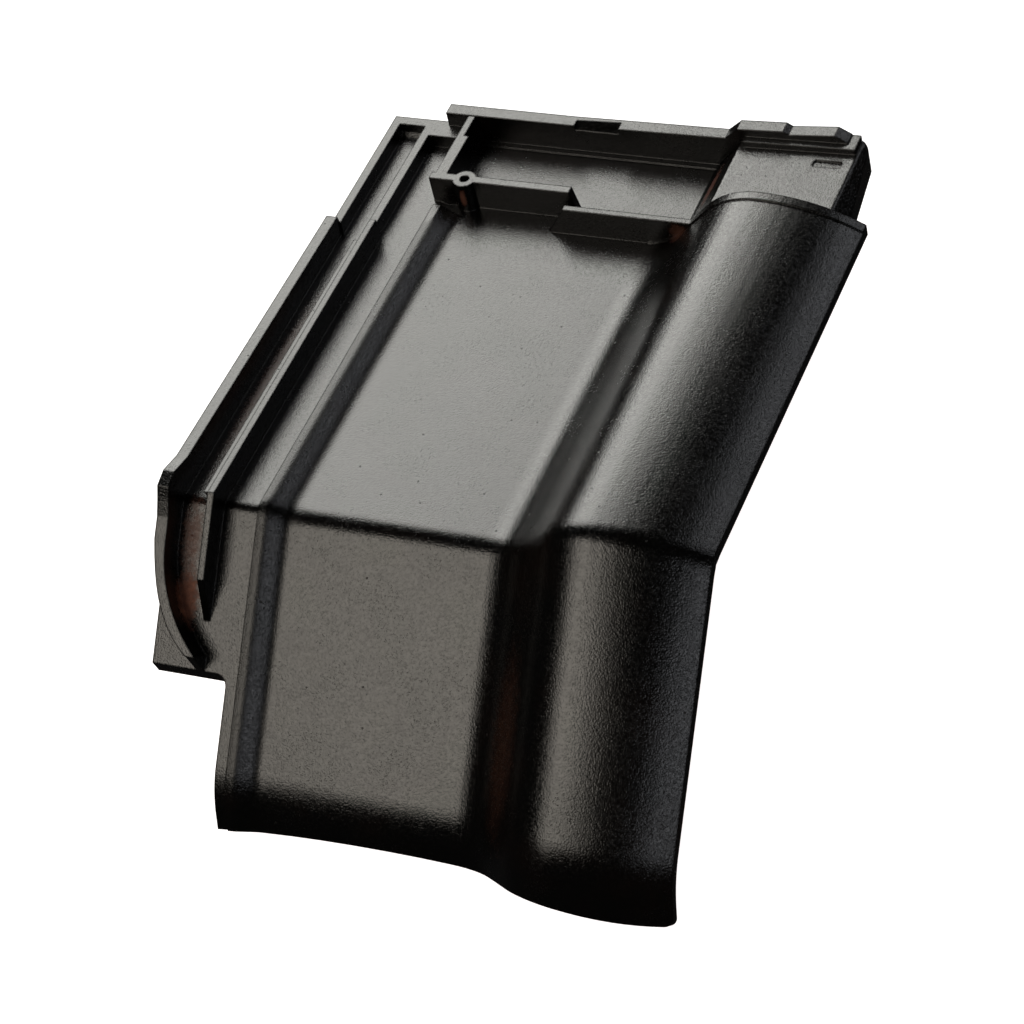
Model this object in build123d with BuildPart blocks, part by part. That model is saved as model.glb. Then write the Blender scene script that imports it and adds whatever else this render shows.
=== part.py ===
from build123d import *
from math import asin, atan2, cos, degrees, hypot, radians, sin, sqrt, tan
import os

os.makedirs("parts", exist_ok=True)

# A pressed clay roof tile that is bent across its width, so that it carries the covering over
# a break between two slopes. While it is drawn, x runs across the tile, y up the upper slope
# and z square to the upper slope. The fold line on the flat side strip is the x axis.

# Overall sizes
plate_left = -51.5
edge_right = 249.7
fold_angle = 45.0
upper_length = 301.5
lower_length = 145.0
lip_angle = 28.0
fold_radius = 9.0

# Foot edge, counted down the lower slope from the fold, at five places across the tile
foot_left_x = -8.5
foot_left = 165.8
foot_pan_x = 95.0
foot_pan = 160.8
foot_turn_x = 160.0
foot_turn = 163.6
foot_roll_x = 215.0
foot_roll = 169.0
foot_corner = 168.0
foot_corner_radius = 5.0

# Cross-section of the two slopes
strip_z = 0.0
pan_z = -1.5
rim_z = 5.0
rim_width = 4.5
rim_slope_angle = 33.0
rim_blend = 9.0
pan_thickness = 10.0
strip_thickness = 8.0
pan_end = 123.0
pan_blend = 33.0
crest_x = 193.0
crest_z = 38.0
crest_left_radius = 42.0
edge_top_z = 23.2
edge_height = 5.5

# Cover lock: two ribs under the roll that reach into the channels of the tile beside it
cover_rib_drop = 16.2
cover_rib_top_y = 222.0
inner_cover_way_in = 33.7
inner_cover_width = 4.5
inner_cover_end = 38.0
outer_cover_way_in = 14.7
outer_cover_width = 5.0

# Side lock: two ribs on the left strip, low at the head and tall from the step down
lock_head_height = 8.0
lock_height = 13.0
outer_rib_step_height = 12.0
outer_rib_fold_height = 15.4
outer_rib_right = -45.0
outer_rib_head_left = -49.0
outer_rib_head_right = -44.0
inner_rib_left = -28.0
inner_rib_ledge = -25.2
inner_rib_right = -21.5
inner_rib_ledge_drop = 1.0
inner_rib_head_left = -28.5
inner_rib_head_right = -23.6
lock_step_y = 209.0
lock_step_run = 3.0
lock_ledge_y = 190.0
lock_ramp_y = 14.0
lock_end_y = 297.0
end_wall_y = 291.0
shelf_y = 284.0
inner_rib_ramp_start = 39.0
inner_rib_ramp_end = 60.5
outer_rib_lower_height = 14.0
end_wall_bevel = 2.5

# The outer rib swells where it goes over the fold: height and way down from the fold
swell_top = 18.7
swell_brow_y = -8.8
swell_brow_z = 16.2
swell_cheek_y = -12.8
swell_cheek_z = 9.4
swell_foot_y = -17.1
swell_foot_z = 2.9

# Then it turns in across the channels: way in from its two sides and way down from the fold
turn_start = 22.0
turn_outer_1 = (1.6, 33.0)
turn_outer_2 = (7.6, 55.0)
turn_outer_3 = (25.6, 79.0)
turn_inner_1 = (1.2, 36.0)
turn_inner_2 = (9.4, 59.0)
turn_inner_3 = (23.6, 78.0)
turn_run_out = 20.0

# Corner cut off below the side lock, drawn square to the pressing direction
press_angle = 17.0
notch_depth = 75.9
notch_x = -14.6
notch_radius = 6.0
body_left = -8.5

# Head: ribs round a sunk pan, and a low box that the roll of the next tile covers
arc_rib_back = 232.0
arc_rib_front = 226.5
arc_rib_proud = 1.0
arc_rib_left = 126.0
head_pan_left = 4.0
box_foot_left = 143.0
box_top_left = 159.0
box_top_left_z = 17.5
box_top_right = 226.0
box_top_right_z = 20.0
box_right = 236.0
flange_head_x = 229.0
flange_body_x = 235.6
flange_body_y = 240.0
flange_corner_radius = 6.0
box_edge_z = 12.0
box_edge_bottom = 3.0
box_corner_radius = 3.0
rib_top_z = 16.5
head_rib_y = 293.7
head_rib_left = -15.0
head_rib_top_z = 17.0
head_rib_rise_x = 60.0
head_rib_rise_end_x = 150.0
head_rib_rise_z = 19.0
head_block_left = 158.0
head_block_left_z = 26.0
head_block_right = 184.0
head_block_right_z = 27.5
head_dip_x = 187.0
head_dip_z = 25.5
head_hump_x = 213.0
head_hump_z = 28.0
head_rib_right = 220.0
head_rib_right_z = 24.0
front_rib_y = 240.2
front_rib_back = 245.2
front_rib_left = -3.5
front_rib_right = 79.0
front_rib_slant = 4.5
second_rib_y = 227.5
second_rib_back = 231.2
second_rib_left = 67.0
second_rib_slant = 13.0
second_rib_top_z = 15.5
left_rib_left = -1.2
left_rib_right = 5.5
left_rib_step_y = 277.0
left_rib_narrow_right = 2.8
weir_left = 62.0
weir_right = 88.0
weir_drop = 4.0
pocket_left = 204.0
pocket_width = 16.0
pocket_y = 278.0
pocket_length = 5.5
pocket_depth = 1.8
pocket_radius = 1.5
pan_step_y = 290.3
pan_step_z = -0.4
ledge_y = 289.5
ledge_z = 22.5
nail_x = 17.0
nail_y = 242.4
nail_radius = 2.6
boss_radius = 6.5

# Underside: nibs that hook on the batten, and a rib near the foot
nib_y = 284.0
nib_thickness = 14.0
nib_bottom = -29.0
nib_width = 36.0
nib_draft = 8.0
nib_centres = (34.0, 112.0)
foot_rib_y = 131.0
foot_rib_thickness = 6.0
foot_rib_depth = 5.0
foot_rib_left = 20.0
foot_rib_right = 122.0

# How far added shapes start inside the plate and cutters reach beyond it
root = 1.0
deep_root = 3.0
reach = 60.0
cut_length = 200.0

turn = radians(fold_angle)
down_slope = Plane(origin=(0, 0, 0), x_dir=(1, 0, 0), z_dir=(0, -cos(turn), -sin(turn)))
lower_face = Plane(origin=(0, 0, 0), x_dir=(1, 0, 0), z_dir=(0, -sin(turn), cos(turn)))
mitre = Plane(origin=(0, 0, 0), x_dir=(1, 0, 0), z_dir=(0, cos(turn / 2), sin(turn / 2)))
lower_side = Plane(origin=(0, 0, 0), x_dir=(0, cos(turn), sin(turn)), z_dir=(1, 0, 0))
press_turn = radians(press_angle)
press_plane = Plane(origin=(0, 0, 0), x_dir=(1, 0, 0), z_dir=(0, -sin(press_turn), cos(press_turn)))
fold_up = Vector(0, -sin(turn / 2), cos(turn / 2))
lip_turn = turn + radians(lip_angle)
lip_direction = (0, -cos(lip_turn) / cos(radians(lip_angle)), -sin(lip_turn) / cos(radians(lip_angle)))

# Flank of the roll: a hollow arc, a straight and a round arc that meet without a corner
flank_run = crest_x - pan_end
flank_rise = crest_z - pan_z
flank_radii = pan_blend + crest_left_radius
flank_reach = hypot(flank_run, flank_radii - flank_rise)
flank_angle = asin(flank_radii / flank_reach) - atan2(flank_radii - flank_rise, flank_run)
edge_run = edge_right - crest_x
edge_fall = crest_z - edge_top_z
crest_right_radius = (edge_run ** 2 + edge_fall ** 2) / (2 * edge_fall)
corner_in = foot_corner_radius * (1 - cos(radians(45)))
rim_foot_x = rim_width + (rim_z - pan_z) / tan(radians(rim_slope_angle))


def arc_point(centre, radius, angle):
    """Point of a circle, with the angle counted from straight up and clockwise."""
    return (centre[0] + radius * sin(angle), centre[1] + radius * cos(angle))


def edge_angle(radius, run):
    """Angle at which a circle about the crest line has gone a given way across."""
    return asin(run / radius)


pan_centre = (pan_end, pan_z + pan_blend)
left_centre = (crest_x, crest_z - crest_left_radius)
right_centre = (crest_x, crest_z - crest_right_radius)
pan_bottom = pan_z - pan_thickness
hollow_right = crest_right_radius - pan_thickness
edge_bottom = edge_top_z - edge_height
cover_rib_bottom = edge_top_z - cover_rib_drop
inner_cover_left = edge_right - inner_cover_way_in
inner_cover_right = inner_cover_left + inner_cover_width
outer_cover_left = edge_right - outer_cover_way_in
outer_cover_right = outer_cover_left + outer_cover_width
hollow_run = sqrt(hollow_right ** 2 - (edge_bottom - right_centre[1]) ** 2)


def inside_roll(x):
    """Height of the middle of the roll's wall, right of its crest."""
    middle_radius = crest_right_radius - pan_thickness / 2
    return right_centre[1] + sqrt(middle_radius ** 2 - (x - crest_x) ** 2)


def lies_in_fold(edge):
    """True for the edges in which the two slopes meet."""
    return all(abs(mitre.to_local_coords(edge.position_at(t)).Z) < 0.01 for t in (0.2, 0.8))


def faces_out(edge):
    """True for a fold edge with open air above it."""
    above = edge.position_at(0.5) + fold_up * 0.5
    return not pressed.part.solid().is_inside(above)


with BuildSketch() as slope_section:
    with BuildLine():
        Polyline(
            (plate_left, strip_z),
            (0, strip_z),
            (0, rim_z),
            (rim_width, rim_z),
            (rim_foot_x, pan_z),
            (pan_end, pan_z),
        )
        ThreePointArc(
            (pan_end, pan_z),
            arc_point(pan_centre, -pan_blend, -flank_angle / 2),
            arc_point(pan_centre, -pan_blend, -flank_angle),
        )
        Line(
            arc_point(pan_centre, -pan_blend, -flank_angle),
            arc_point(left_centre, crest_left_radius, -flank_angle),
        )
        ThreePointArc(
            arc_point(left_centre, crest_left_radius, -flank_angle),
            arc_point(left_centre, crest_left_radius, -flank_angle / 2),
            (crest_x, crest_z),
        )
        ThreePointArc(
            (crest_x, crest_z),
            arc_point(right_centre, crest_right_radius, edge_angle(crest_right_radius, edge_run / 2)),
            (edge_right, edge_top_z),
        )
        Polyline(
            (edge_right, edge_top_z),
            (edge_right, edge_bottom),
            (crest_x + hollow_run, edge_bottom),
        )
        ThreePointArc(
            (crest_x + hollow_run, edge_bottom),
            arc_point(right_centre, hollow_right, edge_angle(hollow_right, hollow_run / 2)),
            (crest_x, crest_z - pan_thickness),
        )
        ThreePointArc(
            (crest_x, crest_z - pan_thickness),
            arc_point(left_centre, crest_left_radius - pan_thickness, -flank_angle / 2),
            arc_point(left_centre, crest_left_radius - pan_thickness, -flank_angle),
        )
        Line(
            arc_point(left_centre, crest_left_radius - pan_thickness, -flank_angle),
            arc_point(pan_centre, -pan_blend - pan_thickness, -flank_angle),
        )
        ThreePointArc(
            arc_point(pan_centre, -pan_blend - pan_thickness, -flank_angle),
            arc_point(pan_centre, -pan_blend - pan_thickness, -flank_angle / 2),
            (pan_end, pan_bottom),
        )
        Polyline(
            (pan_end, pan_bottom),
            (rim_foot_x, pan_bottom),
            (rim_width, strip_z - strip_thickness),
            (plate_left, strip_z - strip_thickness),
            (plate_left, strip_z),
        )
    make_face()
    rim_foot = slope_section.vertices().sort_by_distance((rim_foot_x, pan_z))[0]
    fillet(rim_foot, radius=rim_blend)

with BuildSketch() as cover_ribs:
    with BuildLine():
        Polyline(
            (inner_cover_left, cover_rib_bottom),
            (inner_cover_right, cover_rib_bottom),
            (inner_cover_right, inside_roll(inner_cover_right)),
            (inner_cover_left, inside_roll(inner_cover_right)),
            close=True,
        )
    make_face()

with BuildSketch() as edge_rib:
    with BuildLine():
        Polyline(
            (outer_cover_left, cover_rib_bottom),
            (outer_cover_right, cover_rib_bottom),
            (outer_cover_right, inside_roll(outer_cover_right)),
            (outer_cover_left, inside_roll(outer_cover_right)),
            close=True,
        )
    make_face()

with BuildPart() as upper:
    with BuildSketch(Plane.XZ.offset(-arc_rib_front)) as upright_section:
        add(slope_section.sketch)
    extrude(amount=arc_rib_front + crest_z)
    with BuildSketch(Plane.XZ.offset(-cover_rib_top_y)) as upright_ribs:
        add(cover_ribs.sketch)
        add(edge_rib.sketch)
    extrude(amount=cover_rib_top_y + crest_z)
    split(bisect_by=mitre, keep=Keep.TOP)

with BuildPart() as lower:
    with BuildSketch(down_slope.offset(-crest_z)) as turned_section:
        add(slope_section.sketch)
        add(edge_rib.sketch)
    extrude(amount=lower_length + crest_z)
    with BuildSketch(down_slope.offset(-crest_z)) as turned_rib:
        add(cover_ribs.sketch)
    extrude(amount=inner_cover_end + crest_z)
    split(bisect_by=mitre, keep=Keep.BOTTOM)
    # the lip leans down, with the same outline at every step
    with BuildSketch(down_slope.offset(lower_length)) as lip_section:
        add(slope_section.sketch)
    extrude(amount=foot_roll - lower_length + edge_height, dir=lip_direction)

with BuildSketch() as head_section:
    with BuildLine():
        Polyline(
            (plate_left, strip_z),
            (0, strip_z),
            (head_pan_left, pan_z),
            (box_foot_left, pan_z),
            (box_top_left, box_top_left_z),
            (box_top_right, box_top_right_z),
            (box_right, box_edge_z),
            (box_right, box_edge_bottom),
            (box_right - strip_thickness, box_edge_bottom),
            (box_top_right - strip_thickness, box_top_right_z - pan_thickness),
            (box_top_left + strip_thickness, box_top_left_z - pan_thickness),
            (box_foot_left + strip_thickness, pan_bottom),
            (rim_foot_x, pan_bottom),
            (rim_width, strip_z - strip_thickness),
            (plate_left, strip_z - strip_thickness),
            close=True,
        )
    make_face()
    box_foot = head_section.vertices().sort_by_distance((box_foot_left, pan_z))[0]
    fillet(box_foot, radius=box_corner_radius)
    box_shoulders = head_section.vertices().sort_by_distance((box_top_left, box_top_left_z))[0]
    fillet(box_shoulders, radius=box_corner_radius)
    box_brow = head_section.vertices().sort_by_distance((box_top_right, box_top_right_z))[0]
    fillet(box_brow, radius=box_corner_radius)

with BuildPart() as pressed:
    add(upper.part)
    add(lower.part)
    fold_edges = pressed.edges().filter_by(lies_in_fold).filter_by(faces_out)
    fillet(fold_edges, radius=fold_radius)

    # head body
    with BuildSketch(Plane.XZ.offset(-upper_length)) as head_end:
        add(head_section.sketch)
    extrude(amount=upper_length - arc_rib_front)

    # rib along the head edge, raised where it crosses the box
    with BuildSketch(Plane.XZ.offset(-upper_length)) as head_rib_front:
        with BuildLine():
            Polyline(
                (head_rib_left, strip_z - root),
                (head_rib_left, head_rib_top_z),
                (head_rib_rise_x, head_rib_top_z),
                (head_rib_rise_end_x, head_rib_rise_z),
                (head_block_left, head_block_left_z),
                (head_block_right, head_block_right_z),
                (head_dip_x, head_dip_z),
                (head_hump_x, head_hump_z),
                (head_rib_right, head_rib_right_z),
                (head_rib_right, box_top_right_z - deep_root),
                (box_top_left + deep_root, box_top_left_z - deep_root),
                (box_foot_left, pan_z - deep_root),
                (0, pan_z - deep_root),
                close=True,
            )
        make_face()
    extrude(amount=upper_length - head_rib_y)

    # low step along the foot of that rib, in the pan
    with BuildSketch(Plane.XY.offset(pan_z - root)) as pan_step_plan:
        with Locations((left_rib_narrow_right - root, pan_step_y)):
            Rectangle(box_foot_left, upper_length - pan_step_y, align=(Align.MIN, Align.MIN))
    extrude(amount=pan_step_z - pan_z + root)

    # ledge at the foot of that rib, on the box
    with BuildSketch(Plane.XZ.offset(-upper_length)) as ledge_front:
        with BuildLine():
            Polyline(
                (box_top_left + deep_root, box_top_left_z - deep_root),
                (box_top_left + deep_root, ledge_z - root),
                (box_top_right - root, ledge_z + root),
                (box_top_right - root, box_top_right_z - deep_root),
                close=True,
            )
        make_face()
    extrude(amount=upper_length - ledge_y)

    # shelf and wall that close the channels of the side lock
    with BuildSketch(Plane.YZ.offset(outer_rib_head_left)) as end_wall_side:
        with BuildLine():
            Polyline(
                (lock_end_y, strip_z - root),
                (lock_end_y, lock_head_height),
                (end_wall_y, lock_head_height),
                (end_wall_y, strip_z + end_wall_bevel),
                (end_wall_y - end_wall_bevel, strip_z),
                (end_wall_y - end_wall_bevel, strip_z - root),
                close=True,
            )
        make_face()
    extrude(amount=inner_rib_head_right - outer_rib_head_left)
    with BuildSketch(Plane.XY.offset(strip_z - root)) as shelf_plan:
        with Locations((inner_rib_head_right, shelf_y)):
            Rectangle(left_rib_left + root - inner_rib_head_right, lock_end_y - shelf_y, align=(Align.MIN, Align.MIN))
    extrude(amount=lock_head_height + root)

    # front ribs of the pan; the second one climbs over the roll as an arc
    with BuildSketch(Plane.XZ.offset(-front_rib_back)) as front_rib_face:
        with BuildLine():
            Polyline(
                (front_rib_left, pan_z - deep_root),
                (front_rib_left, rib_top_z),
                (front_rib_right, rib_top_z),
                (front_rib_right + front_rib_slant, pan_z - deep_root),
                close=True,
            )
        make_face()
    extrude(amount=front_rib_back - front_rib_y)
    with BuildSketch(Plane.XZ.offset(-second_rib_back)) as second_rib_face:
        with BuildLine():
            Polyline(
                (second_rib_left, pan_z - deep_root),
                (second_rib_left + second_rib_slant, second_rib_top_z),
                (crest_x, second_rib_top_z),
                (crest_x, pan_z - deep_root),
                close=True,
            )
        make_face()
    extrude(amount=second_rib_back - second_rib_y)
    with BuildSketch(Plane.XZ.offset(-arc_rib_back)) as arc_rib_face:
        add(slope_section.sketch)
        with Locations((0, arc_rib_proud)):
            add(slope_section.sketch)
        with Locations((arc_rib_left, pan_bottom)):
            Rectangle(reach * 3, reach, align=(Align.MIN, Align.MIN), mode=Mode.INTERSECT)
    extrude(amount=arc_rib_back - arc_rib_front)
    with BuildSketch(Plane.XZ.offset(-arc_rib_back)) as arc_rib_floor:
        add(slope_section.sketch)
    extrude(amount=arc_rib_back - arc_rib_front)

    # left rib of the pan, with its narrow part at the head
    with BuildSketch(Plane.XY.offset(pan_z - deep_root)) as left_rib_plan:
        with BuildLine():
            Polyline(
                (left_rib_left, front_rib_y + root),
                (left_rib_right, front_rib_y + root),
                (left_rib_right, left_rib_step_y),
                (left_rib_narrow_right, left_rib_step_y),
                (left_rib_narrow_right, head_rib_y + root),
                (left_rib_left, head_rib_y + root),
                close=True,
            )
        make_face()
    extrude(amount=rib_top_z - pan_z + deep_root)

    # boss for the nail
    with BuildSketch(Plane.XY.offset(pan_z - deep_root)) as boss_plan:
        with Locations((nail_x, nail_y)):
            Circle(boss_radius)
    extrude(amount=rib_top_z - pan_z + deep_root)

    # side lock on the upper slope: outer rib, low at the head and tall below the step
    with BuildSketch(Plane.YZ.offset(plate_left)) as outer_rib_side:
        with BuildLine():
            Polyline(
                (lock_step_y, strip_z - root),
                (lock_step_y - lock_step_run, outer_rib_step_height),
                (lock_ramp_y, outer_rib_fold_height),
                (0, swell_top),
                (swell_brow_y, swell_brow_z),
                (swell_cheek_y, swell_cheek_z),
                (swell_foot_y, swell_foot_z),
                (0, strip_z - root),
                close=True,
            )
        make_face()
    extrude(amount=outer_rib_right - plate_left)
    with BuildSketch(Plane.YZ.offset(outer_rib_head_left)) as outer_rib_head_side:
        with BuildLine():
            Polyline(
                (lock_end_y, strip_z - root),
                (lock_end_y, lock_head_height),
                (lock_step_y - lock_step_run, lock_head_height),
                (lock_step_y - lock_step_run, strip_z - root),
                close=True,
            )
        make_face()
    extrude(amount=outer_rib_head_right - outer_rib_head_left)

    # inner rib, with a narrow ledge along its outer side
    with BuildSketch(Plane.YZ.offset(inner_rib_ledge)) as inner_rib_side:
        with BuildLine():
            Polyline(
                (lock_step_y, strip_z - root),
                (lock_step_y - lock_step_run, lock_height),
                (-lock_height * tan(turn / 2), lock_height),
                (0, strip_z - root),
                close=True,
            )
        make_face()
    extrude(amount=inner_rib_right - inner_rib_ledge)
    with BuildSketch(Plane.YZ.offset(inner_rib_left)) as inner_ledge_side:
        with BuildLine():
            Polyline(
                (lock_ledge_y, strip_z - root),
                (lock_ledge_y, lock_height - inner_rib_ledge_drop),
                ((inner_rib_ledge_drop - lock_height) * tan(turn / 2), lock_height - inner_rib_ledge_drop),
                (0, strip_z - root),
                close=True,
            )
        make_face()
    extrude(amount=inner_rib_ledge - inner_rib_left)
    with BuildSketch(Plane.YZ.offset(inner_rib_head_left)) as inner_rib_head_side:
        with BuildLine():
            Polyline(
                (lock_end_y, strip_z - root),
                (lock_end_y, lock_head_height),
                (lock_step_y - lock_step_run, lock_head_height),
                (lock_step_y - lock_step_run, strip_z - root),
                close=True,
            )
        make_face()
    extrude(amount=inner_rib_head_right - inner_rib_head_left)

    # inner rib on the lower slope, running out in a ramp
    with BuildSketch(lower_side.offset(inner_rib_ledge)) as inner_ramp_side:
        with BuildLine():
            Polyline(
                (lock_height * tan(turn / 2), lock_height),
                (-inner_rib_ramp_start, lock_height),
                (-inner_rib_ramp_end, strip_z),
                (-inner_rib_ramp_end, strip_z - root),
                (0, strip_z - root),
                close=True,
            )
        make_face()
    extrude(amount=inner_rib_right - inner_rib_ledge)

    # outer rib on the lower slope, turning in across the channels
    with BuildSketch(lower_face.offset(strip_z - root)) as outer_rib_lower:
        with BuildLine():
            Spline(
                (plate_left, -turn_start),
                (plate_left + turn_outer_1[0], -turn_outer_1[1]),
                (plate_left + turn_outer_2[0], -turn_outer_2[1]),
                (plate_left + turn_outer_3[0], -turn_outer_3[1]),
            )
            Polyline(
                (plate_left + turn_outer_3[0], -turn_outer_3[1]),
                (plate_left + turn_outer_3[0], -turn_outer_3[1] - turn_run_out),
                (outer_rib_right + turn_inner_3[0], -turn_inner_3[1] - turn_run_out),
                (outer_rib_right + turn_inner_3[0], -turn_inner_3[1]),
            )
            Spline(
                (outer_rib_right + turn_inner_3[0], -turn_inner_3[1]),
                (outer_rib_right + turn_inner_2[0], -turn_inner_2[1]),
                (outer_rib_right + turn_inner_1[0], -turn_inner_1[1]),
                (outer_rib_right, -turn_start),
            )
            Polyline(
                (outer_rib_right, -turn_start),
                (outer_rib_right, outer_rib_lower_height * tan(turn / 2)),
                (plate_left, outer_rib_lower_height * tan(turn / 2)),
                (plate_left, -turn_start),
            )
        make_face()
    extrude(amount=outer_rib_lower_height - strip_z + root)

    # corner cut off square to the pressing direction, and the left edge of the body below it
    with BuildSketch(press_plane) as notch_plan:
        with BuildLine():
            Polyline(
                (plate_left - reach, -notch_depth),
                (body_left, -notch_depth),
                (body_left, -notch_depth - cut_length),
                (plate_left - reach, -notch_depth - cut_length),
                close=True,
            )
        make_face()
        notch_corner = notch_plan.vertices().sort_by_distance((body_left, -notch_depth))[0]
        fillet(notch_corner, radius=notch_radius)
    extrude(amount=cut_length, both=True, mode=Mode.SUBTRACT)

    # foot edge, longer at the roll and rounded at its corner
    with BuildSketch(lower_face) as foot_plan:
        with BuildLine():
            Spline(
                (foot_left_x, -foot_left),
                (foot_pan_x, -foot_pan),
                (foot_turn_x, -foot_turn),
                (foot_roll_x, -foot_roll),
                (edge_right - foot_corner_radius, -foot_corner),
            )
            ThreePointArc(
                (edge_right - foot_corner_radius, -foot_corner),
                (edge_right - corner_in, -foot_corner + corner_in),
                (edge_right, -foot_corner + foot_corner_radius),
            )
            Polyline(
                (edge_right, -foot_corner + foot_corner_radius),
                (edge_right + reach, -foot_corner + foot_corner_radius),
                (edge_right + reach, -foot_roll - reach),
                (foot_left_x - reach, -foot_roll - reach),
                (foot_left_x - reach, -foot_left),
                (foot_left_x, -foot_left),
            )
        make_face()
    extrude(amount=cut_length, both=True, mode=Mode.SUBTRACT)

    # head corner left of the pan
    with BuildSketch() as head_corner:
        with BuildLine():
            Polyline(
                (plate_left - root, lock_end_y),
                (head_rib_left, lock_end_y),
                (head_rib_left, upper_length + root),
                (plate_left - root, upper_length + root),
                close=True,
            )
        make_face()
    extrude(amount=cut_length, both=True, mode=Mode.SUBTRACT)

    # flange beside the box, narrower and rounded at the head
    with BuildSketch() as flange_side:
        with BuildLine():
            Polyline(
                (flange_body_x, flange_body_y),
                (flange_head_x, upper_length),
                (head_rib_right - reach / 3, upper_length),
                (head_rib_right - reach / 3, upper_length + reach),
                (edge_right + reach, upper_length + reach),
                (edge_right + reach, flange_body_y),
                close=True,
            )
        make_face()
        flange_corner = flange_side.vertices().sort_by_distance((flange_head_x, upper_length))[0]
        fillet(flange_corner, radius=flange_corner_radius)
    extrude(amount=cut_length, both=True, mode=Mode.SUBTRACT)

    # shallow pocket in the box, beside the head rib
    with BuildSketch(Plane.XY.offset(box_top_right_z - pocket_depth)) as pocket_plan:
        with Locations((pocket_left, pocket_y)):
            Rectangle(pocket_width, pocket_length, align=(Align.MIN, Align.MIN))
        fillet(pocket_plan.vertices(), radius=pocket_radius)
    extrude(amount=ledge_z - box_top_right_z + pocket_depth, mode=Mode.SUBTRACT)

    # weir in the head rib
    with BuildSketch(Plane.YZ.offset(weir_left)) as weir_side:
        with BuildLine():
            Polyline(
                (upper_length, head_rib_rise_z),
                (head_rib_y - root, head_rib_top_z - weir_drop),
                (head_rib_y - root, head_rib_rise_z + root),
                (upper_length, head_rib_rise_z + root),
                close=True,
            )
        make_face()
    extrude(amount=weir_right - weir_left, mode=Mode.SUBTRACT)

    # nibs
    with BuildSketch(Plane.XY.offset(pan_bottom + root)) as nib_plan:
        with Locations(*[(nib_x, nib_y + nib_thickness / 2) for nib_x in nib_centres]):
            Rectangle(nib_width, nib_thickness)
    extrude(amount=nib_bottom - pan_bottom - root, taper=nib_draft)

    # rib across the underside of the pan near the foot
    with BuildSketch(lower_face.offset(pan_bottom + root)) as foot_rib_plan:
        with BuildLine():
            Polyline(
                (foot_rib_left, -foot_rib_y),
                (foot_rib_right, -foot_rib_y),
                (foot_rib_right, -foot_rib_y - foot_rib_thickness),
                (foot_rib_left, -foot_rib_y - foot_rib_thickness),
                close=True,
            )
        make_face()
    extrude(amount=-foot_rib_depth - root)

    # nail hole
    with Locations((nail_x, nail_y, rib_top_z)):
        Hole(radius=nail_radius)

# The tile lies unheld on its nibs and on its foot edge, like a low tent
foot_edge_drop = (foot_pan - lower_length) * tan(radians(lip_angle)) - pan_bottom
foot_edge_y = -foot_pan * cos(turn) + foot_edge_drop * sin(turn)
foot_edge_z = -foot_pan * sin(turn) - foot_edge_drop * cos(turn)
nib_toe_y = nib_y + nib_thickness
rest_angle = degrees(atan2(nib_bottom - foot_edge_z, nib_toe_y - foot_edge_y))
turned_box = pressed.part.rotate(Axis.X, -rest_angle).bounding_box()
middle = turned_box.center()

with BuildPart() as roof_tile:
    add(pressed.part.rotate(Axis.X, -rest_angle).translate((-middle.X, -middle.Y, -turned_box.min.Z)))

roof_tile.part.label = "roof_tile"
export_step(roof_tile.part, "parts/roof_tile.step")
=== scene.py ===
from math import asin, atan2, cos, hypot, pi, radians, sin, sqrt, tan

import bmesh
import bpy
from bpy.props import FloatProperty, FloatVectorProperty, PointerProperty
from mathutils import Matrix, Vector


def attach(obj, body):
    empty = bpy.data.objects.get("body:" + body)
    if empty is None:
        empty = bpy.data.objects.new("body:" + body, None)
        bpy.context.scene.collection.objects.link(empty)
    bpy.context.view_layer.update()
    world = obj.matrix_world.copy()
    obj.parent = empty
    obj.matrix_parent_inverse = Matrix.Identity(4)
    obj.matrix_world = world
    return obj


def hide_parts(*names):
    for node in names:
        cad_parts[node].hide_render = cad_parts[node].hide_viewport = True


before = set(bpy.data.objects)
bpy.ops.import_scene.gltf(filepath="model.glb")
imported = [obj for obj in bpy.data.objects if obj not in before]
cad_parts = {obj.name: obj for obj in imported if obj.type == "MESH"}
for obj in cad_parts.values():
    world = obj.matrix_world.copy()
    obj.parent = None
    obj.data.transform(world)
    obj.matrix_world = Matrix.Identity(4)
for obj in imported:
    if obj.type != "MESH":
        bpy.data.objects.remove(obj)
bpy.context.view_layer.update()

bl_info = {
    "name": "Glazed bent roof tile",
    "version": (1, 0, 0),
    "blender": (4, 5, 0),
    "location": "View3D > Sidebar > Roof tile",
    "description": "Refines and glazes the bent interlocking roof tile and sets up its studio",
    "category": "Object",
}

# The tile was drawn with its fold line along X and its upper slope level, in millimetres.
# These two turn and move that drawing into the row frame, where the tile lies on the floor.
RESTING_TILT = radians(13.9504)
RESTING_SHIFT = (-0.0991, -0.071103, 0.102711)

# The tile is cut each millimetre up to this far on both sides of the fold's middle plane.
FOLD_REACH = 7

# Nearer to that plane than this, in millimetres, points aren't set on the cross-section's curves.
FOLD_CLEAR = 6.5

# How many cuts each half of the lip's soft bend gets.
LIP_CUTS = 6

# Two faces that meet at a larger angle than this keep a crisp edge between them.
CRISP_ANGLE = radians(28)

# The camera stands where the photograph was taken from: its place in millimetres and its three
# axes, all in the drawing.
CAMERA_PLACE = (805.4, -1065.4, 1213.3)
CAMERA_RIGHT = (0.9137, 0.3616, -0.1853)
CAMERA_UP = (-0.1344, 0.6993, 0.7021)
CAMERA_AHEAD = (-0.3834, 0.6166, -0.6876)


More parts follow.
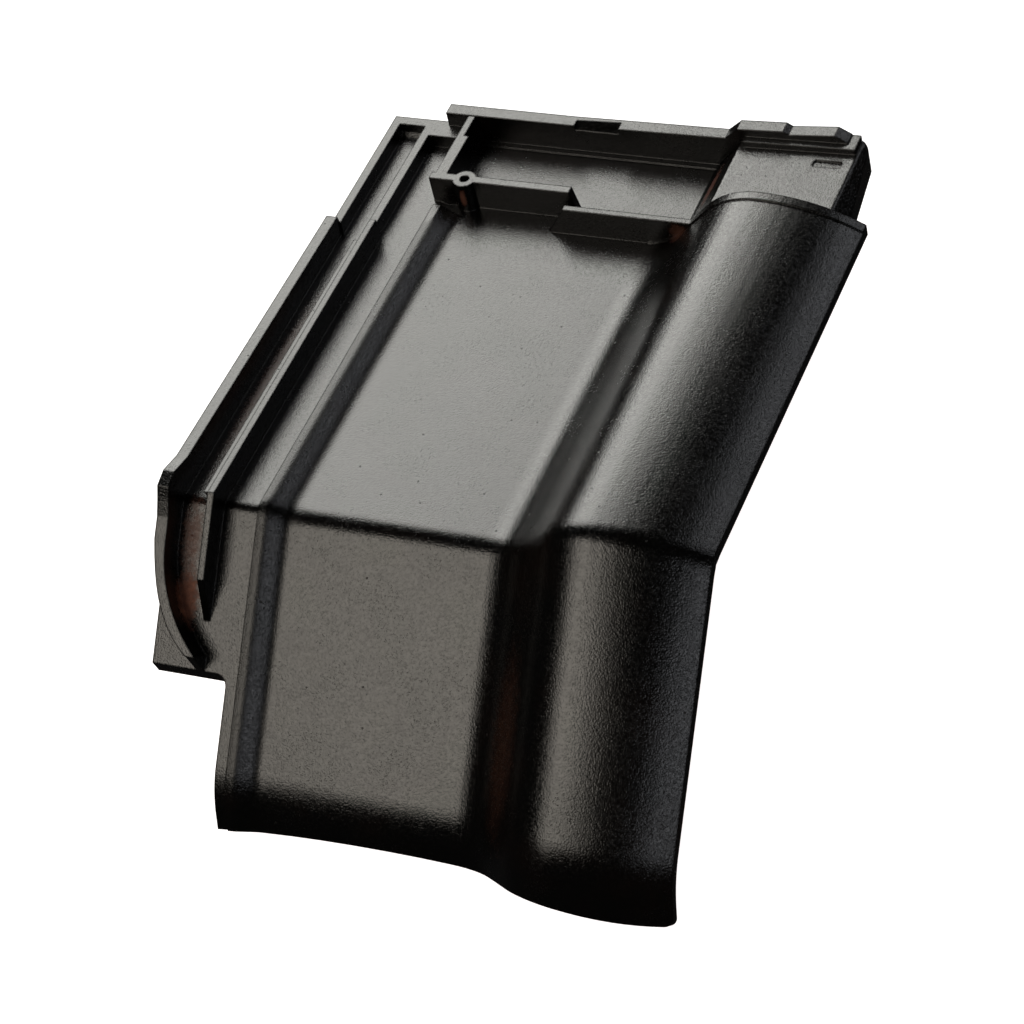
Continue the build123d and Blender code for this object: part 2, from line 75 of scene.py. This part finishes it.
class TileShape(bpy.types.PropertyGroup):
    """Sizes of the roll and the pan that the fine cuts follow."""

    fold: FloatProperty(
        name="Fold", description="Angle between the two slopes", subtype="ANGLE", default=radians(45)
    )
    pan_end: FloatProperty(
        name="Pan end", description="Where the pan turns up into the roll, in mm", default=123.0
    )
    pan_z: FloatProperty(
        name="Pan height", description="Height of the pan in the drawing, in mm", default=-1.5
    )
    pan_blend: FloatProperty(
        name="Pan blend", description="Radius between pan and roll, in mm", default=33.0
    )
    crest_x: FloatProperty(
        name="Crest", description="Place of the roll's crest across the tile, in mm", default=193.0
    )
    crest_z: FloatProperty(name="Crest height", description="Height of the crest, in mm", default=38.0)
    crest_radius: FloatProperty(
        name="Crest radius", description="Radius left of the crest, in mm", default=42.0
    )
    edge_x: FloatProperty(name="Edge", description="Right edge of the roll, in mm", default=249.7)
    edge_z: FloatProperty(
        name="Edge height", description="Height of the roll's right edge, in mm", default=23.2
    )
    wall: FloatProperty(name="Wall", description="Thickness of the pressed clay, in mm", default=10.0)
    rim_foot: FloatProperty(
        name="Rim foot", description="Where the rim's slope meets the pan, in mm", default=14.51
    )
    rim_slope: FloatProperty(
        name="Rim slope", description="Slope of the rim", subtype="ANGLE", default=radians(33)
    )
    rim_blend: FloatProperty(
        name="Rim blend", description="Radius at the rim's foot, in mm", default=9.0
    )
    lower_length: FloatProperty(
        name="Lower slope", description="Way from the fold to the lip, in mm", default=145.0
    )
    upper_length: FloatProperty(
        name="Upper slope", description="Way from the fold to the roll's end, in mm", default=226.4
    )
    cad_fold: FloatProperty(
        name="Plain fold", description="Radius of the fold on the frame's solid, in mm", default=9.0
    )
    soft_fold: FloatProperty(
        name="Soft fold", description="Radius that the fold is given here, in mm", default=16.0
    )
    lip: FloatProperty(
        name="Lip", description="How far the lip leans down", subtype="ANGLE", default=radians(28)
    )
    soft_lip: FloatProperty(
        name="Soft lip", description="Way over which the lip bends, in mm", default=13.0
    )
    snap: FloatProperty(
        name="Snap",
        description="Most that a cut point is moved onto the true curve, in mm",
        default=0.3,
    )


class TileGlaze(bpy.types.PropertyGroup):
    """Colours and grain of the glaze and of the clay under it."""

    black: FloatVectorProperty(
        name="Black",
        description="Glaze where it is thick",
        subtype="COLOR", default=(0.0010, 0.0009, 0.0008),
    )
    brown: FloatVectorProperty(
        name="Brown",
        description="Glaze where it is thin",
        subtype="COLOR", default=(0.0050, 0.0022, 0.0014),
    )
    clay: FloatVectorProperty(
        name="Clay",
        description="Fired clay without glaze",
        subtype="COLOR", default=(0.30, 0.115, 0.065),
    )
    clay_dark: FloatVectorProperty(
        name="Dark clay",
        description="Fired clay in its darker spots",
        subtype="COLOR", default=(0.17, 0.062, 0.038),
    )
    gloss: FloatProperty(
        name="Roughness", description="Roughness of the glaze", min=0.0, max=1.0, default=0.2
    )
    peel: FloatProperty(
        name="Peel size",
        description="Width of a bump of the glaze",
        unit="LENGTH", precision=5, default=0.0016,
    )
    peel_depth: FloatProperty(
        name="Peel depth",
        description="Height of those bumps",
        unit="LENGTH", precision=6, default=0.00006,
    )
    grain: FloatProperty(
        name="Grain size",
        description="Width of a fine grain",
        unit="LENGTH", precision=5, default=0.0008,
    )
    grain_depth: FloatProperty(
        name="Grain depth",
        description="Height of the fine grain",
        unit="LENGTH", precision=6, default=0.00013,
    )
    wave: FloatProperty(
        name="Wave size",
        description="Width of the slow waves of the pressed face",
        unit="LENGTH", default=0.035,
    )
    wave_depth: FloatProperty(
        name="Wave depth",
        description="Height of the slow waves",
        unit="LENGTH", precision=5, default=0.00014,
    )
    mottle: FloatProperty(
        name="Mottle",
        description="How unevenly the glaze shines from grain to grain",
        min=0.0, max=1.0, default=0.07,
    )
    pit_spacing: FloatProperty(
        name="Pinhole spacing", description="Way between two pinholes", unit="LENGTH", default=0.012
    )
    edge_round: FloatProperty(
        name="Edge rounding",
        description="Radius of the worn and glazed edges",
        unit="LENGTH", precision=5, default=0.0013,
    )
    rim_round: FloatProperty(
        name="Rim rounding",
        description="What the edge rounding gains on the rim's slope",
        unit="LENGTH", precision=5, default=0.005,
    )


class Studio(bpy.types.PropertyGroup):
    """Floor, lights and camera."""

    floor: FloatVectorProperty(
        name="Floor", description="Colour of the floor", subtype="COLOR", default=(0.86, 0.86, 0.86)
    )
    floor_glow: FloatProperty(
        name="Floor glow", description="Light that the floor passes on from below", default=0.95
    )
    floor_size: FloatProperty(
        name="Floor size", description="Side of the floor", unit="LENGTH", default=14.0
    )
    world: FloatVectorProperty(
        name="Room",
        description="Colour of the dark room",
        subtype="COLOR", default=(0.012, 0.012, 0.012),
    )
    lens: FloatProperty(name="Lens", description="Focal length of the camera in mm", default=125.58)
    distance: FloatProperty(
        name="Light distance",
        description="Way from the tile to each soft light",
        unit="LENGTH", default=1.7,
    )
    back_light: FloatProperty(
        name="Back light", description="Brightness of the soft light behind the tile", default=5.5
    )
    front_light: FloatProperty(
        name="Front light", description="Brightness of the soft light before the tile", default=3.7
    )
    side_light: FloatProperty(
        name="Side light", description="Brightness of the soft light on the right", default=1.5
    )
    warm: FloatVectorProperty(
        name="Back colour",
        description="Colour of the lights behind",
        subtype="COLOR", default=(1.0, 0.995, 0.94),
    )
    warmer: FloatVectorProperty(
        name="Front colour",
        description="Colour of the lights before",
        subtype="COLOR", default=(1.0, 0.93, 0.82),
    )
    cool: FloatVectorProperty(
        name="Side colour",
        description="Colour of the light on the right",
        subtype="COLOR", default=(0.93, 0.95, 1.0),
    )


def in_row(x, y, z):
    """A point of the drawing, in millimetres, as a point of the row frame in metres."""
    c, s = cos(RESTING_TILT), sin(RESTING_TILT)
    return Vector((x / 1000, (y * c + z * s) / 1000, (z * c - y * s) / 1000)) + Vector(RESTING_SHIFT)


def turned(x, y, z):
    """A direction of the drawing as a direction of the row frame."""
    c, s = cos(RESTING_TILT), sin(RESTING_TILT)
    return Vector((x, y * c + z * s, z * c - y * s))


def on_lower(x, y, z, fold):
    """A point counted on the lower slope as a point of the drawing."""
    return x, y * cos(fold) - z * sin(fold), y * sin(fold) + z * cos(fold)


class Section:
    """The tile's cross-section: pan, hollow flank and roll, outside and inside."""

    def __init__(self, s):
        self.s = s
        self.rise = s.crest_z - s.pan_z
        radii = s.pan_blend + s.crest_radius
        run = s.crest_x - s.pan_end
        self.flank = asin(radii / hypot(run, radii - self.rise)) - atan2(radii - self.rise, run)
        fall = s.crest_z - s.edge_z
        self.right = ((s.edge_x - s.crest_x) ** 2 + fall**2) / (2 * fall)

    def height(self, x, wall):
        """Height of the face that lies a given wall below the outside, or None left of the pan's blend."""
        s = self.s
        low, high = s.pan_blend + wall, s.crest_radius - wall
        start = s.pan_end
        if start <= x <= start + low * sin(self.flank):
            return s.pan_z - wall + low - sqrt(low**2 - (x - start) ** 2)
        end = s.crest_x - high * sin(self.flank)
        if x < start:
            return None
        if x < end:
            foot = start + low * sin(self.flank)
            return s.pan_z - wall + low * (1 - cos(self.flank)) + (x - foot) * tan(self.flank)
        if x <= s.crest_x:
            return s.crest_z - wall - high + sqrt(high**2 - (x - s.crest_x) ** 2)
        right = self.right - wall
        return s.crest_z - wall - right + sqrt(right**2 - (x - s.crest_x) ** 2)

    def rim(self, x):
        """Height of the hollow at the rim's foot, or None beside it."""
        s = self.s
        reach = s.rim_blend * tan(s.rim_slope / 2)
        end = s.rim_foot + reach
        if s.rim_foot - reach * cos(s.rim_slope) <= x <= end:
            return s.pan_z + s.rim_blend - sqrt(s.rim_blend**2 - (end - x) ** 2)
        return None

    def cuts(self):
        """Places across the tile where the curved faces are cut finer."""
        s = self.s
        made = [s.rim_foot - 2.0 + 0.6 * i for i in range(8)]
        made += [s.pan_end + 1.5 * i for i in range(1, 17)]
        made += [s.crest_x - 30.0 + 1.5 * i for i in range(20)]
        made += [s.crest_x + 2.7 * i for i in range(21)]
        return made


def cut_across(bm, place, way):
    """Cuts every face that crosses a plane, so that the mesh can bend there."""
    geometry = bm.verts[:] + bm.edges[:] + bm.faces[:]
    bmesh.ops.bisect_plane(bm, geom=geometry, dist=0.000002, plane_co=place, plane_no=way)


def fold_drop(shape, away, radius):
    """How far a fold of that radius lies below the sharp fold, at a distance from its middle plane."""
    half = shape.fold / 2
    if abs(away) >= radius * sin(half):
        return 0.0
    return radius / cos(half) - sqrt(radius**2 - away**2) - abs(away) * tan(half)


def lip_drop(shape, down):
    """How far the softly bent lip lies below the sharply bent one, at a way down the lower slope."""
    past = down - shape.lower_length
    if abs(past) >= shape.soft_lip:
        return 0.0
    return tan(shape.lip) * ((past + shape.soft_lip) ** 2 / (4 * shape.soft_lip) - max(past, 0.0))


def refine(mesh, shape):
    """Merges the loose triangles, cuts the curved faces finer and sets the new points on true curves."""
    section = Section(shape)
    bm = bmesh.new()
    bm.from_mesh(mesh)
    bmesh.ops.remove_doubles(bm, verts=bm.verts, dist=0.00001)
    for x in section.cuts():
        cut_across(bm, in_row(x, 0, 0), (1, 0, 0))
    half = shape.fold / 2
    over_fold = (0, cos(half), sin(half))
    for i in range(-FOLD_REACH, FOLD_REACH + 1):
        cut_across(bm, in_row(*[i * k for k in over_fold]), turned(*over_fold))
    down_slope = (0, -cos(shape.fold), -sin(shape.fold))
    for i in range(-LIP_CUTS, LIP_CUTS + 2):
        way = shape.lower_length + i * shape.soft_lip / LIP_CUTS
        cut_across(bm, in_row(*[way * k for k in down_slope]), turned(*down_slope))
    c, s = cos(RESTING_TILT), sin(RESTING_TILT)
    cf, sf = cos(shape.fold), sin(shape.fold)
    for v in bm.verts:
        p = (v.co - Vector(RESTING_SHIFT)) * 1000
        x, y, z = p.x, p.y * c - p.z * s, p.y * s + p.z * c
        yl, zl = y * cf + z * sf, -y * sf + z * cf
        across = y * cos(half) + z * sin(half)
        softer = fold_drop(shape, across, shape.soft_fold) - fold_drop(shape, across, shape.cad_fold)
        if x > 0:
            v.co -= turned(0, -sin(half), cos(half)) * (softer / 1000)
        v.co -= turned(0, -sf, cf) * (lip_drop(shape, -yl) / 1000)
        if FOLD_CLEAR < across and y < shape.upper_length:
            level, up = z, (0.0, 0.0, 1.0)
        elif across < -FOLD_CLEAR and yl > -shape.lower_length:
            level, up = zl, (0.0, -sf, cf)
        else:
            continue
        for wanted in (section.height(x, 0.0), section.height(x, shape.wall), section.rim(x)):
            if wanted is not None and abs(wanted - level) < shape.snap:
                v.co += turned(*[k * (wanted - level) / 1000 for k in up])
                break
    bmesh.ops.recalc_face_normals(bm, faces=bm.faces)
    bm.to_mesh(mesh)
    bm.free()
    if "custom_normal" in mesh.attributes:
        mesh.attributes.remove(mesh.attributes["custom_normal"])
    mesh.update()


class NodeBuilder:
    """Short words for adding and joining shader nodes."""

    def __init__(self, tree):
        self.tree = tree

    def put(self, kind, values=(), **settings):
        node = self.tree.nodes.new(kind)
        for key, value in settings.items():
            setattr(node, key, value)
        for key, value in dict(values).items():
            if isinstance(value, bpy.types.NodeSocket):
                self.tree.links.new(value, node.inputs[key])
            else:
                node.inputs[key].default_value = value
        return node

    def math(self, operation, a, b=0.0, clamp=False):
        return self.put("ShaderNodeMath", {0: a, 1: b}, operation=operation, use_clamp=clamp).outputs[0]

    def ramp(self, value, low, high, out_low=0.0, out_high=1.0):
        values = {"Value": value, "From Min": low, "From Max": high, "To Min": out_low, "To Max": out_high}
        return self.put("ShaderNodeMapRange", values, interpolation_type="SMOOTHSTEP").outputs["Result"]

    def noise(self, vector, size, detail=2.0, roughness=0.5):
        values = {"Vector": vector, "Scale": 1.0 / size, "Detail": detail, "Roughness": roughness}
        return self.put("ShaderNodeTexNoise", values).outputs["Fac"]

    def blend(self, factor, a, b):
        node = self.put("ShaderNodeMix", data_type="RGBA")
        for socket, value in ((node.inputs[0], factor), (node.inputs[6], a), (node.inputs[7], b)):
            if isinstance(value, bpy.types.NodeSocket):
                self.tree.links.new(value, socket)
            else:
                socket.default_value = value
        return node.outputs[2]


def patch_group():
    """A soft ragged patch: 1 in the middle of an ellipsoid and 0 outside it."""
    tree = bpy.data.node_groups.new("worn_patch", "ShaderNodeTree")
    face = tree.interface
    face.new_socket("Place", in_out="INPUT", socket_type="NodeSocketVector")
    face.new_socket("Middle", in_out="INPUT", socket_type="NodeSocketVector")
    face.new_socket("Reach", in_out="INPUT", socket_type="NodeSocketVector")
    face.new_socket("Raggedness", in_out="INPUT", socket_type="NodeSocketFloat")
    face.new_socket("Strength", in_out="INPUT", socket_type="NodeSocketFloat")
    face.new_socket("Mask", in_out="OUTPUT", socket_type="NodeSocketFloat")
    b = NodeBuilder(tree)
    given = b.put("NodeGroupInput").outputs
    pair = {0: given["Place"], 1: given["Middle"]}
    away = b.put("ShaderNodeVectorMath", pair, operation="SUBTRACT").outputs[0]
    scaled = b.put("ShaderNodeVectorMath", {0: away, 1: given["Reach"]}, operation="DIVIDE").outputs[0]
    far = b.put("ShaderNodeVectorMath", {0: scaled}, operation="LENGTH").outputs["Value"]
    uneven = b.math("SUBTRACT", b.noise(given["Place"], 0.004, 6.0, 0.75), 0.5)
    ragged = b.math("MULTIPLY", uneven, given["Raggedness"])
    inside = b.ramp(b.math("ADD", far, ragged), 0.25, 1.0, 1.0, 0.0)
    mask = b.math("MULTIPLY", inside, given["Strength"], True)
    b.put("NodeGroupOutput", {"Mask": mask})
    return tree


# Places where the clay shows through: middle and reach in mm, on the upper (0) or lower (1) slope,
# how ragged and how strong.
WORN_PLACES = (
    (1, (-36.0, -50.0, 0.0), (9.0, 22.0, 8.0), 1.4, 0.9),
    (1, (-37.0, -20.0, 0.0), (8.0, 26.0, 8.0), 1.6, 0.45),
    (0, (17.0, 235.5, 8.0), (2.5, 5.0, 7.0), 1.4, 0.55),
    (0, (148.5, 268.0, 6.0), (4.5, 22.0, 8.0), 1.4, 0.35),
    (0, (146.0, 226.0, 8.0), (8.0, 5.0, 9.0), 1.4, 0.35),
    (1, (152.0, -95.0, 14.0), (16.0, 60.0, 22.0), 1.0, 0.06),
    (0, (-36.0, 90.0, 0.0), (8.0, 90.0, 7.0), 1.8, 0.22),
)


def tile_material(glaze, shape):
    """Black glaze with its orange-peel bumps over red clay, which shows in thin places and underneath."""
    m = bpy.data.materials.new("black_glaze_on_clay")
    m.use_nodes = True
    m.node_tree.nodes.clear()
    b = NodeBuilder(m.node_tree)
    raw = b.put("ShaderNodeTexCoord").outputs["Object"]
    back = Matrix.Rotation(RESTING_TILT, 4, "X")
    start = -(back @ Vector(RESTING_SHIFT))
    values = {"Vector": raw, "Location": start, "Rotation": (RESTING_TILT, 0, 0)}
    upper = b.put("ShaderNodeMapping", values).outputs[0]
    lower = b.put("ShaderNodeMapping", {"Vector": upper, "Rotation": (-shape.fold, 0, 0)}).outputs[0]

    group = patch_group()
    worn = None
    for slope, middle, reach, ragged, strength in WORN_PLACES:
        values = {
            "Place": lower if slope else upper,
            "Middle": [k / 1000 for k in middle],
            "Reach": [k / 1000 for k in reach],
            "Raggedness": ragged,
            "Strength": strength,
        }
        patch = b.put("ShaderNodeGroup", node_tree=group)
        for key, value in values.items():
            if isinstance(value, bpy.types.NodeSocket):
                b.tree.links.new(value, patch.inputs[key])
            else:
                patch.inputs[key].default_value = value
        worn = patch.outputs["Mask"] if worn is None else b.math("MAXIMUM", worn, patch.outputs["Mask"])

    # the glaze was sprayed from above, so the faces that look down stay bare
    facing = b.put("ShaderNodeNewGeometry").outputs["Normal"]
    down = b.put("ShaderNodeSeparateXYZ", {0: facing}).outputs["Z"]
    spray = b.math("MULTIPLY", b.math("SUBTRACT", b.noise(upper, 0.02, 5.0, 0.6), 0.5), 0.35)
    under = b.ramp(b.math("ADD", down, spray), -0.34, -0.55)
    bare = b.math("MAXIMUM", worn, under, True)

    tone = b.ramp(b.noise(upper, 0.05, 5.0, 0.6), 0.42, 0.72)
    thin = b.math("MULTIPLY", tone, 0.5)
    glazed = b.blend(thin, (*glaze.black, 1), (*glaze.brown, 1))
    speck = b.ramp(b.noise(upper, 0.004, 6.0, 0.7), 0.35, 0.7)
    fired = b.blend(speck, (*glaze.clay_dark, 1), (*glaze.clay, 1))
    colour = b.blend(bare, glazed, fired)

    smear = b.ramp(b.noise(upper, 0.03, 4.0, 0.6), 0.3, 0.75, -0.02, 0.03)
    # pinholes and dull grains, where the glaze mirrors less
    grains = b.ramp(b.noise(upper, glaze.peel, 2.0, 0.6), 0.3, 0.7, -glaze.mottle, glaze.mottle)
    values = {"Vector": upper, "Scale": 1.0 / glaze.pit_spacing}
    pits = b.put("ShaderNodeTexVoronoi", values).outputs["Distance"]
    dull = b.math("ADD", grains, b.ramp(pits, 0.03, 0.07, 0.35, 0.0))
    shine = b.math("ADD", b.math("ADD", smear, dull), glaze.gloss)
    rough = b.math("ADD", shine, b.math("MULTIPLY", bare, 0.6), True)

    # the rim's slope runs softly into the rim and the pan
    place = b.put("ShaderNodeSeparateXYZ", {0: upper}).outputs
    right_of = b.ramp(place["X"], 0.0, 0.003)
    left_of = b.ramp(place["X"], 0.020, 0.024, 1.0, 0.0)
    below_head = b.ramp(place["Y"], 0.215, 0.224, 1.0, 0.0)
    over_rim = b.math("MULTIPLY", b.math("MULTIPLY", right_of, left_of), below_head)
    radius = b.math("ADD", b.math("MULTIPLY", over_rim, glaze.rim_round), glaze.edge_round)
    normal = b.put("ShaderNodeBevel", {"Radius": radius}, samples=6).outputs[0]
    for size, depth, detail in (
        (glaze.wave, glaze.wave_depth, 1.0),
        (glaze.peel, glaze.peel_depth, 1.5),
        (glaze.grain, glaze.grain_depth, 1.0),
    ):
        height = b.noise(upper, size, detail, 0.5)
        values = {"Height": height, "Distance": depth, "Strength": 1.0, "Normal": normal}
        normal = b.put("ShaderNodeBump", values).outputs[0]

    shader = b.put("ShaderNodeBsdfPrincipled", {"Base Color": colour, "Roughness": rough, "Normal": normal})
    shader.inputs["IOR"].default_value = 1.52
    b.put("ShaderNodeOutputMaterial", {"Surface": shader.outputs[0]})
    return m


class ROOFTILE_OT_tile(bpy.types.Operator):
    """Build the visible tile from the frame's solid, with finer curves and its glaze"""

    bl_idname = "rooftile.tile"
    bl_label = "Fired tile"

    def execute(self, context):
        scene = context.scene
        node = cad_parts["roof_tile"]
        mesh = node.data.copy()
        mesh.name = "fired_tile"
        refine(mesh, scene.tile_shape)
        tile = bpy.data.objects.new("fired_tile", mesh)
        scene.collection.objects.link(tile)
        mesh.materials.clear()
        mesh.materials.append(tile_material(scene.tile_glaze, scene.tile_shape))
        for polygon in mesh.polygons:
            polygon.use_smooth = True
            polygon.material_index = 0
        mesh.set_sharp_from_angle(angle=CRISP_ANGLE)
        even = tile.modifiers.new("even_normals", "WEIGHTED_NORMAL")
        even.keep_sharp = True
        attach(tile, "root")
        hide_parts("roof_tile")
        return {"FINISHED"}


# The points that the soft lights face, in millimetres: x and y on the upper slope, and on the lower one.
UPPER_TARGET = (100, 110)
LOWER_TARGET = (100, -80)

# Each soft light: its name, whether it faces the lower slope, where its middle lies as seen from there
# (degrees across and along, from square to the upper slope), its width and length in degrees, the studio
# settings of its brightness and colour, and its share of that brightness.
SOFT_LIGHTS = (
    ("soft_back", False, (-41, 45), (34, 40), "back_light", "warm", 1.0),
    ("soft_back_edge", False, (-15, 45), (18, 40), "back_light", "warm", 0.15),
    ("soft_front", True, (-35, -48), (26, 32), "front_light", "warmer", 1.0),
    ("soft_front_edge", True, (-14, -48), (16, 32), "front_light", "warmer", 0.15),
    ("soft_right_back", False, (34, 44), (8, 40), "side_light", "cool", 1.15),
    ("soft_right_front", True, (52, -49), (7, 34), "side_light", "cool", 1.8),
)


def soft_light(name, target, across, along, wide, long, distance, radiance, colour):
    """An area light at a direction given by two angles of the drawing, turned to face its target."""
    way = Vector((tan(across), tan(along), 1.0)).normalized()
    place = target + turned(*way) * distance
    data = bpy.data.lights.new(name, "AREA")
    data.shape = "RECTANGLE"
    data.size = 2 * distance * tan(wide / 2)
    data.size_y = 2 * distance * tan(long / 2)
    data.energy = radiance * pi * data.size * data.size_y
    data.color = colour
    lamp = bpy.data.objects.new(name, data)
    bpy.context.scene.collection.objects.link(lamp)
    forward = (target - place).normalized()
    side = turned(0, 1, 0).cross(-forward).normalized()
    up = (-forward).cross(side).normalized()
    lamp.matrix_world = Matrix.Translation(place) @ Matrix((side, up, -forward)).transposed().to_4x4()


class ROOFTILE_OT_stage(bpy.types.Operator):
    """Put the pale floor, the soft lights and the camera round the tile"""

    bl_idname = "rooftile.stage"
    bl_label = "Studio"

    def execute(self, context):
        scene = context.scene
        studio, shape = scene.studio, scene.tile_shape

        half = studio.floor_size / 2
        mesh = bpy.data.meshes.new("floor")
        corners = [(-half, -half, 0), (half, -half, 0), (half, half, 0), (-half, half, 0)]
        mesh.from_pydata(corners, [], [(0, 1, 2, 3)])
        floor = bpy.data.objects.new("floor", mesh)
        scene.collection.objects.link(floor)
        paint = bpy.data.materials.new("floor_paint")
        paint.use_nodes = True
        shader = paint.node_tree.nodes["Principled BSDF"]
        shader.inputs["Base Color"].default_value = (*studio.floor, 1)
        shader.inputs["Roughness"].default_value = 1.0
        shader.inputs["Specular IOR Level"].default_value = 0.0
        shader.inputs["Emission Color"].default_value = (1, 1, 1, 1)
        shader.inputs["Emission Strength"].default_value = studio.floor_glow
        mesh.materials.append(paint)
        floor.visible_glossy = False

        world = bpy.data.worlds.new("dark_room")
        world.use_nodes = True
        world.node_tree.nodes["Background"].inputs["Color"].default_value = (*studio.world, 1)
        scene.world = world

        upper = in_row(*UPPER_TARGET, 0)
        lower = in_row(*on_lower(*LOWER_TARGET, 0, shape.fold))
        for name, faces_lower, middle, spread, brightness, colour, share in SOFT_LIGHTS:
            angles = [radians(k) for k in (*middle, *spread)]
            target = lower if faces_lower else upper
            radiance = getattr(studio, brightness) * share
            soft_light(name, target, *angles, studio.distance, radiance, getattr(studio, colour))

        lens = bpy.data.cameras.new("camera")
        lens.lens = studio.lens
        lens.sensor_width = 36.0
        lens.clip_end = 50.0
        camera = bpy.data.objects.new("camera", lens)
        scene.collection.objects.link(camera)
        axes = Matrix((turned(*CAMERA_RIGHT), turned(*CAMERA_UP), -turned(*CAMERA_AHEAD))).transposed()
        camera.matrix_world = Matrix.Translation(in_row(*CAMERA_PLACE)) @ axes.to_4x4()
        scene.camera = camera
        scene.view_settings.view_transform = "Standard"
        return {"FINISHED"}


class ROOFTILE_PT_panel(bpy.types.Panel):
    """The tile's and the studio's buttons in the sidebar"""

    bl_label = "Roof tile"
    bl_idname = "ROOFTILE_PT_panel"
    bl_space_type = "VIEW_3D"
    bl_region_type = "UI"
    bl_category = "Roof tile"

    def draw(self, context):
        scene = context.scene
        for operator, groups in (
            ("rooftile.tile", (scene.tile_shape, scene.tile_glaze)),
            ("rooftile.stage", (scene.studio,)),
        ):
            self.layout.operator(operator)
            for group in groups:
                for name in group.__annotations__:
                    self.layout.prop(group, name)


CLASSES = (TileShape, TileGlaze, Studio, ROOFTILE_OT_tile, ROOFTILE_OT_stage, ROOFTILE_PT_panel)


def register():
    for c in CLASSES:
        bpy.utils.register_class(c)
    bpy.types.Scene.tile_shape = PointerProperty(type=TileShape)
    bpy.types.Scene.tile_glaze = PointerProperty(type=TileGlaze)
    bpy.types.Scene.studio = PointerProperty(type=Studio)


def unregister():
    del bpy.types.Scene.tile_shape, bpy.types.Scene.tile_glaze, bpy.types.Scene.studio
    for c in reversed(CLASSES):
        bpy.utils.unregister_class(c)


def main():
    """Registers the add-on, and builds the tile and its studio."""
    register()
    bpy.ops.rooftile.tile()
    bpy.ops.rooftile.stage()


if __name__ == "__main__":
    main()
